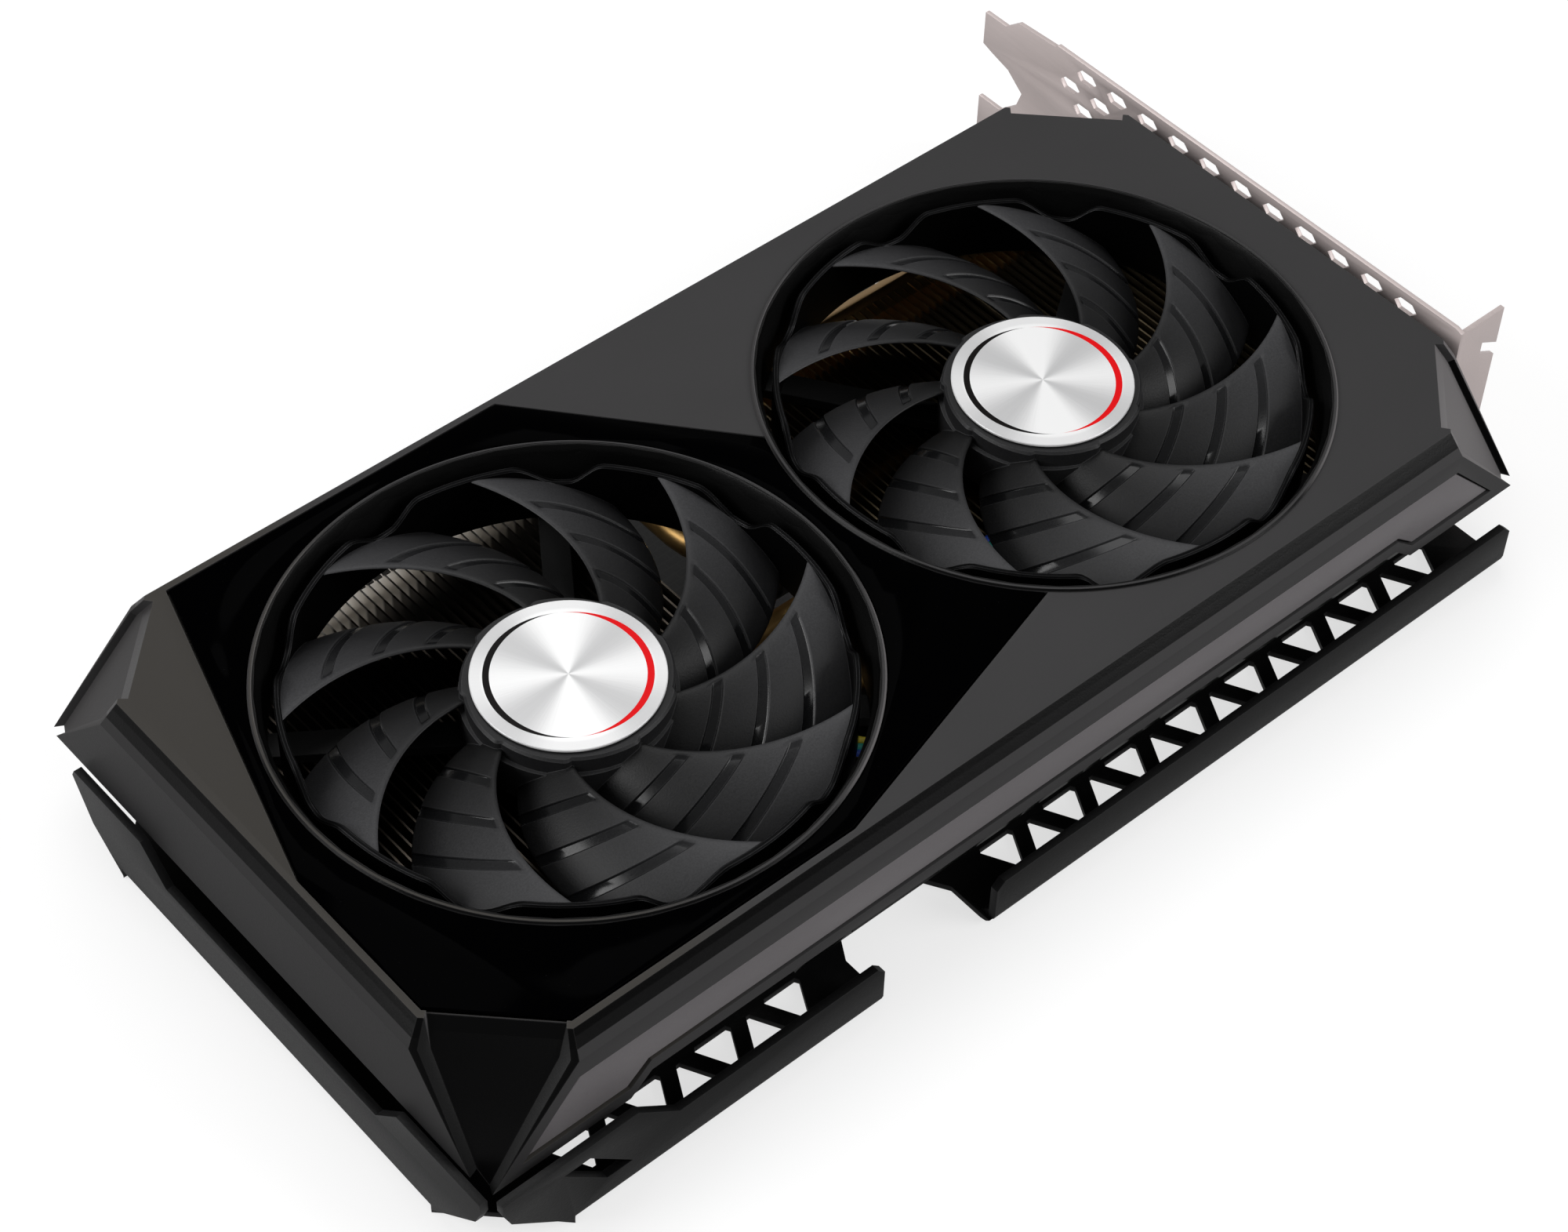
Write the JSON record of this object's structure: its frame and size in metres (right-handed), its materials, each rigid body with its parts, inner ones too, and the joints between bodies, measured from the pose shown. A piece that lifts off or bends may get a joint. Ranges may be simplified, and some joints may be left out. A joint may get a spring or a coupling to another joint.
{
  "type": "graphics card",
  "caption": "Two-slot graphics card: faceted dark shroud with ring fans over a finned heat-pipe cooler, board, truss-edged backplate tray and slot bracket.",
  "frame": {"origin": "on the backplate tray's underside, midway between the two fan axes", "axes": "+X to the slot bracket, +Y to the edge connector, +Z out of the fans"},
  "size_m": [0.2415, 0.1421, 0.037],
  "materials": {
    "shroud_plastic": "moulded, fine matte grain",
    "gloss_black": "high gloss black",
    "inlay_grey": "matte warm grey",
    "fan_plastic": "satin black",
    "ferrite": "bonded ferrite",
    "steel": "ground steel",
    "brushed_label": "radially brushed",
    "black_plastic": "moulded black",
    "winding": "enamelled copper wire on a core",
    "fin_aluminium": "stamped fins",
    "lead_sleeve": "sleeved wires",
    "copper": "bare copper",
    "solder_mask": "black solder mask",
    "package_green": "laminate substrate",
    "silicon": "polished silicon",
    "chip_epoxy": "moulded epoxy",
    "choke_grey": "pressed ferrite",
    "can_aluminium": "drawn can",
    "socket_black": "moulded black",
    "socket_shell": "nickel plated",
    "tray_black": "black powder coat",
    "bracket_steel": "zinc plated sheet"
  },
  "bodies": {
    "card": {"fan_shroud": "shroud_plastic", "gloss_panel": "gloss_black", "side_inlay": "inlay_grey", "tail_fan_spider": "black_plastic", "tail_fan_stator": "winding", "tail_fin_stack": "fin_aluminium", "tail_fan_lead": "lead_sleeve", "bracket_fan_spider": "black_plastic", "bracket_fan_stator": "winding", "bracket_fin_stack": "fin_aluminium", "bracket_fan_lead": "lead_sleeve", "heat_pipe_1": "copper", "heat_pipe_2": "copper", "heat_pipe_loop": "copper", "cold_plate": "copper", "circuit_board": "solder_mask", "gpu_package": "package_green", "gpu_die": "silicon", "memory_chip_1": "chip_epoxy", "memory_chip_2": "chip_epoxy", "memory_chip_3": "chip_epoxy", "memory_chip_4": "chip_epoxy", "memory_chip_5": "chip_epoxy", "memory_chip_6": "chip_epoxy", "choke_1": "choke_grey", "choke_2": "choke_grey", "choke_3": "choke_grey", "choke_4": "choke_grey", "capacitor_1": "can_aluminium", "capacitor_2": "can_aluminium", "capacitor_3": "can_aluminium", "fan_header": "socket_black", "power_socket": "socket_black", "display_socket_1": "socket_shell", "display_socket_2": "socket_shell", "display_socket_3": "socket_shell", "display_socket_4": "socket_shell", "backplate_tray": "tray_black", "board_screw_1": "steel", "board_screw_2": "steel", "board_screw_3": "steel", "board_screw_4": "steel", "slot_bracket": "bracket_steel"},
    "tail_fan": {"tail_fan_rotor": "fan_plastic", "tail_fan_magnet": "ferrite", "tail_fan_shaft": "steel", "tail_hub_label": "brushed_label"},
    "bracket_fan": {"bracket_fan_rotor": "fan_plastic", "bracket_fan_magnet": "ferrite", "bracket_fan_shaft": "steel", "bracket_hub_label": "brushed_label"}
  },
  "joints": [
    {"name": "tail_fan_spin", "type": "hinge", "parent": "card", "child": "tail_fan", "pos_m": [-0.05175, 0, 0.02337], "axis": [0, 0, 1], "continuous": true},
    {"name": "bracket_fan_spin", "type": "hinge", "parent": "card", "child": "bracket_fan", "pos_m": [0.05175, 0, 0.02337], "axis": [0, 0, 1], "continuous": true}
  ]
}
